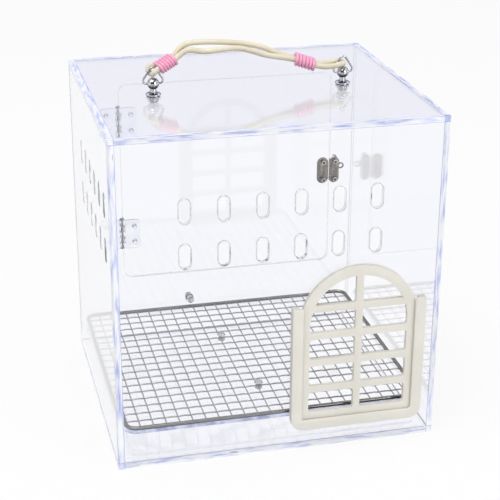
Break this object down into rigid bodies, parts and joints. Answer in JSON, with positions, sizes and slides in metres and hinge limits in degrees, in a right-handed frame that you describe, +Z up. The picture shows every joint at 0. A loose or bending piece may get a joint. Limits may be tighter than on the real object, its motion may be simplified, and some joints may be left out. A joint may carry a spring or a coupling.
{
  "type": "bird travel carrier",
  "caption": "Clear box carrier for a small bird: hinged rear door with latch, arched sliding front grille, wire floor grid over a drip tray, soft cord handle on ball studs.",
  "frame": {"origin": "middle of the box's footprint, on the surface the box stands on", "axes": "+Z up, +Y towards the rear door, +X to the right as seen from the front, the side the sliding grille is on"},
  "size_m": [0.25, 0.2317, 0.304],
  "materials": {
    "clear_acrylic": "clear polished sheet",
    "hinge_plastic": "clear moulded",
    "tray_plastic": "clear moulded",
    "cream_plastic": "satin",
    "bright_steel": "bright",
    "nickel": "nickel plated",
    "cream_cord": "smooth braid",
    "pink_cord": "smooth braid"
  },
  "bodies": {
    "box": {"front_panel": "clear_acrylic", "back_panel": "clear_acrylic", "left_panel": "clear_acrylic", "right_panel": "clear_acrylic", "top_panel": "clear_acrylic", "bottom_panel": "clear_acrylic", "frame_hinge_leaves": "hinge_plastic", "frame_hinge_rivets": "hinge_plastic", "hinge_pins": "bright_steel", "latch_base": "nickel", "latch_rivet": "bright_steel", "base_screws": "bright_steel", "gate_track": "cream_plastic", "drip_tray": "tray_plastic", "wire_mesh": "bright_steel", "mesh_screws": "bright_steel", "mesh_stop": "bright_steel", "handle_stud_left": "bright_steel", "handle_stud_right": "bright_steel", "stud_washers": "bright_steel", "stud_nuts": "bright_steel"},
    "door": {"door": "clear_acrylic", "door_hinge_leaves": "hinge_plastic", "door_hinge_rivets": "hinge_plastic", "latch_keeper": "nickel", "keeper_screws": "bright_steel"},
    "hook": {"latch_hook": "nickel"},
    "grille": {"gate": "cream_plastic"},
    "handle": {"handle_cord": "cream_cord", "cord_wrap_left": "pink_cord", "cord_wrap_right": "pink_cord", "handle_ring_left": "bright_steel", "handle_ring_right": "bright_steel"}
  },
  "joints": [
    {"name": "door_hinge", "type": "hinge", "parent": "box", "child": "door", "pos_m": [-0.08485, 0.11265, 0.1505], "axis": [0, 0, 1], "range_deg": [0, 110]},
    {"name": "hook_swing", "type": "hinge", "parent": "box", "child": "hook", "pos_m": [0.10655, 0.1132, 0.149], "axis": [0, -1, 0], "range_deg": [0, 90]},
    {"name": "gate_slide", "type": "slide", "parent": "box", "child": "grille", "axis": [0, 0, 1], "range_m": [0, 0.09]},
    {"name": "handle_swing", "type": "hinge", "parent": "box", "child": "handle", "pos_m": [0, -0.008, 0.2687], "axis": [1, 0, 0], "range_deg": [-85, 85]}
  ]
}
